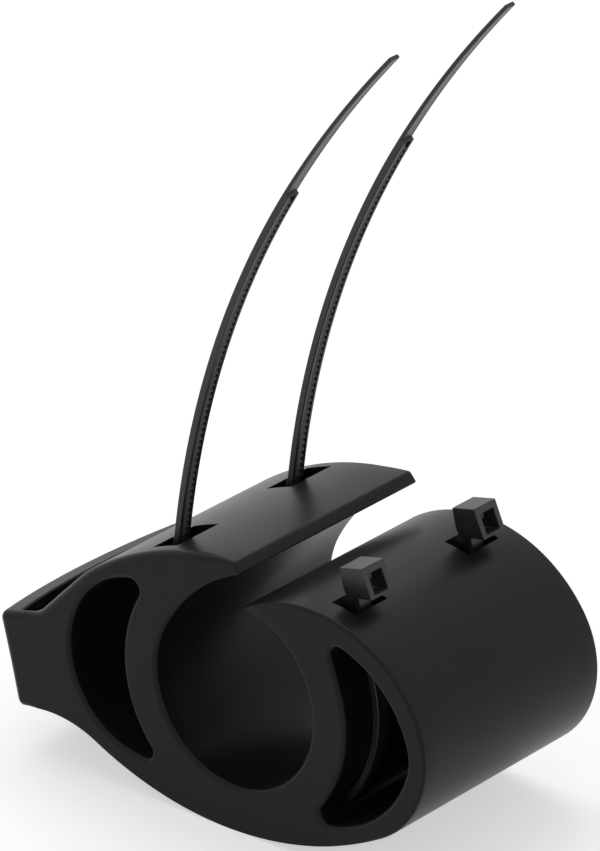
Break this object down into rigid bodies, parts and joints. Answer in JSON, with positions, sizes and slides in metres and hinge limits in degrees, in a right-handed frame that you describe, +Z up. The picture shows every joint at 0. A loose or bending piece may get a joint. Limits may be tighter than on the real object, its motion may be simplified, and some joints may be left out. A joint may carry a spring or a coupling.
{
  "type": "handlebar smartwatch holder",
  "caption": "Soft moulded C-shaped clip that grips a handlebar and carries a strapped-on wrist device, held shut by cable ties threaded through it.",
  "frame": {"origin": "on the axis of the handlebar bore, half way along the body", "axes": "+Y along the handlebar, +Z up through the jaws' mouth, +X towards the round lobe and away from the end block with the shelf"},
  "size_m": [0.0813, 0.0404, 0.1228],
  "materials": {
    "holder_rubber": "fine matte grain, as moulded",
    "tie_nylon": "satin moulded nylon"
  },
  "bodies": {
    "root": {"holder_body": "holder_rubber", "front_cable_tie": "tie_nylon", "rear_cable_tie": "tie_nylon"}
  },
  "joints": []
}
